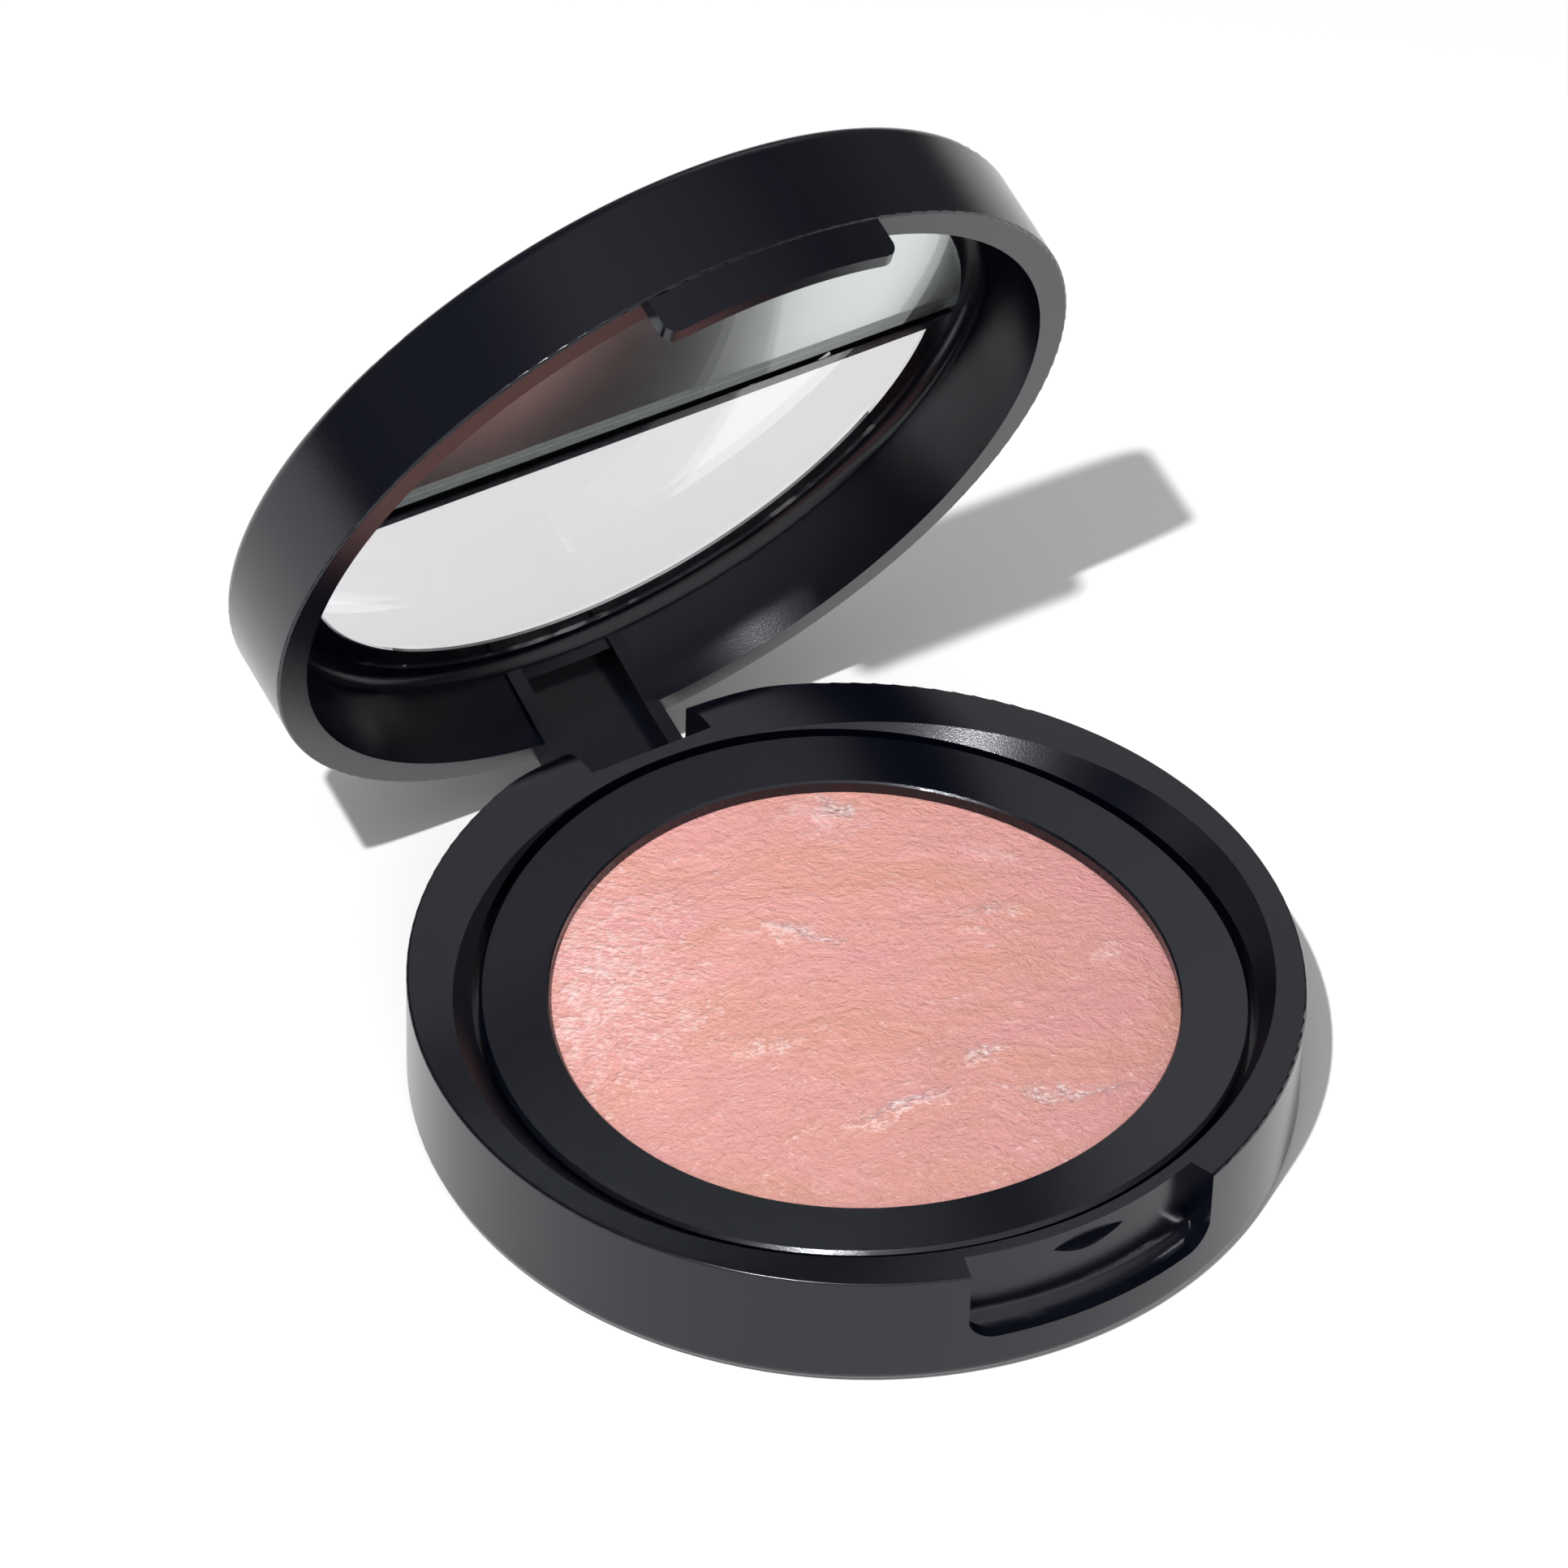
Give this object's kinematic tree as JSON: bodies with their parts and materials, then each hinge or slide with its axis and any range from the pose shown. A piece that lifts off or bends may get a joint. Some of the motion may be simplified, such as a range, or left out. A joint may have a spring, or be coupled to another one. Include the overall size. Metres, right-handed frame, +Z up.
{
  "type": "powder compact",
  "caption": "Round flip-top powder compact: domed baked powder in a framed well, hinged lid with a half-moon mirror and a half-moon window, thumb tab latch.",
  "frame": {"origin": "centre of the base's flat underside", "axes": "+Z up, +Y towards the hinge, -Y towards the thumb tab, +X to the right"},
  "size_m": [0.064, 0.0756, 0.067],
  "materials": {
    "compact_plastic": "satin black moulded plastic with a very fine grain",
    "terracotta": "unglazed terracotta",
    "baked_powder": "marbled baked powder, soft and slightly pearly",
    "glue": "set hot-melt glue",
    "label_paper": "blank satin paper sticker",
    "pin_steel": "drawn wire",
    "clear_window": "clear polished plastic",
    "mirror_glass": "clear float glass with a cut edge",
    "mirror_silver": "silvered back of the glass",
    "mounting_tape": "double-sided tape"
  },
  "bodies": {
    "base": {"base_shell": "compact_plastic", "pan_bezel": "compact_plastic", "baking_tile": "terracotta", "powder_cake": "baked_powder", "tile_adhesive": "glue", "base_label": "label_paper", "hinge_pin": "pin_steel"},
    "lid": {"lid_shell": "compact_plastic", "window_lens": "clear_window", "mirror_glass": "mirror_glass", "mirror_silvering": "mirror_silver", "mirror_tape": "mounting_tape"}
  },
  "joints": [
    {"name": "lid_hinge", "type": "hinge", "parent": "base", "child": "lid", "pos_m": [0, 0.0303, 0.004], "axis": [-1, 0, 0], "range_deg": [-70, 28]}
  ]
}
